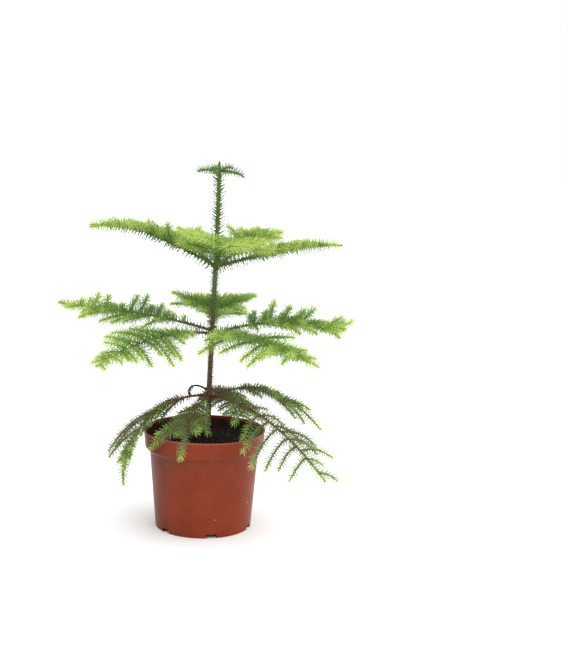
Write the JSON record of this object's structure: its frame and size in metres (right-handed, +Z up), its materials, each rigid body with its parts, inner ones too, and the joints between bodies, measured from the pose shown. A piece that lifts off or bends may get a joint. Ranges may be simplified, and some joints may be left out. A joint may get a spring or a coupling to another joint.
{
  "type": "potted norfolk island pine",
  "caption": "Young potted Norfolk Island pine: a slim leaning stem with tiers of needled boughs, the lowest drooping, in a terracotta-coloured nursery pot filled with soil.",
  "frame": {"origin": "centre of the pot's flat underside, on the surface that it stands on", "axes": "+Z up along the pot's axis; -Y towards the front, as pictured; +X to the right"},
  "size_m": [0.3268, 0.2863, 0.388],
  "materials": {
    "pot_plastic": "moulded terracotta-coloured plastic with a soft sheen",
    "potting_soil": "crumbly moist potting soil",
    "stem_bark": "rough scaly bark, green towards the tip",
    "bough_bark": "thin brown bark",
    "green_bark": "young green bark",
    "lower_needles": "old dull green needles",
    "middle_needles": "mid green needles with a waxy sheen",
    "upper_needles": "young yellow-green needles with a waxy sheen",
    "dry_bark": "dry brown dead wood"
  },
  "bodies": {
    "root": {"pot": "pot_plastic", "soil": "potting_soil", "trunk": "stem_bark", "lower_bough_1": "bough_bark", "lower_bough_2": "bough_bark", "lower_bough_3": "bough_bark", "lower_bough_4": "bough_bark", "lower_bough_5": "bough_bark", "middle_bough_1": "bough_bark", "middle_bough_2": "bough_bark", "middle_bough_3": "bough_bark", "middle_bough_4": "bough_bark", "middle_bough_5": "bough_bark", "upper_bough_1": "green_bark", "upper_bough_2": "green_bark", "upper_bough_3": "green_bark", "upper_bough_4": "green_bark", "upper_bough_5": "green_bark", "lower_foliage_1": "lower_needles", "lower_foliage_2": "lower_needles", "lower_foliage_3": "lower_needles", "lower_foliage_4": "lower_needles", "lower_foliage_5": "lower_needles", "middle_foliage_1": "middle_needles", "middle_foliage_2": "middle_needles", "middle_foliage_3": "middle_needles", "middle_foliage_4": "middle_needles", "middle_foliage_5": "middle_needles", "upper_foliage_1": "upper_needles", "upper_foliage_2": "upper_needles", "upper_foliage_3": "upper_needles", "upper_foliage_4": "upper_needles", "upper_foliage_5": "upper_needles", "leader_foliage_1": "upper_needles", "leader_foliage_2": "upper_needles", "leader_foliage_3": "upper_needles", "leader_foliage_4": "upper_needles", "leader_foliage_5": "upper_needles", "dry_curl": "dry_bark"}
  },
  "joints": []
}
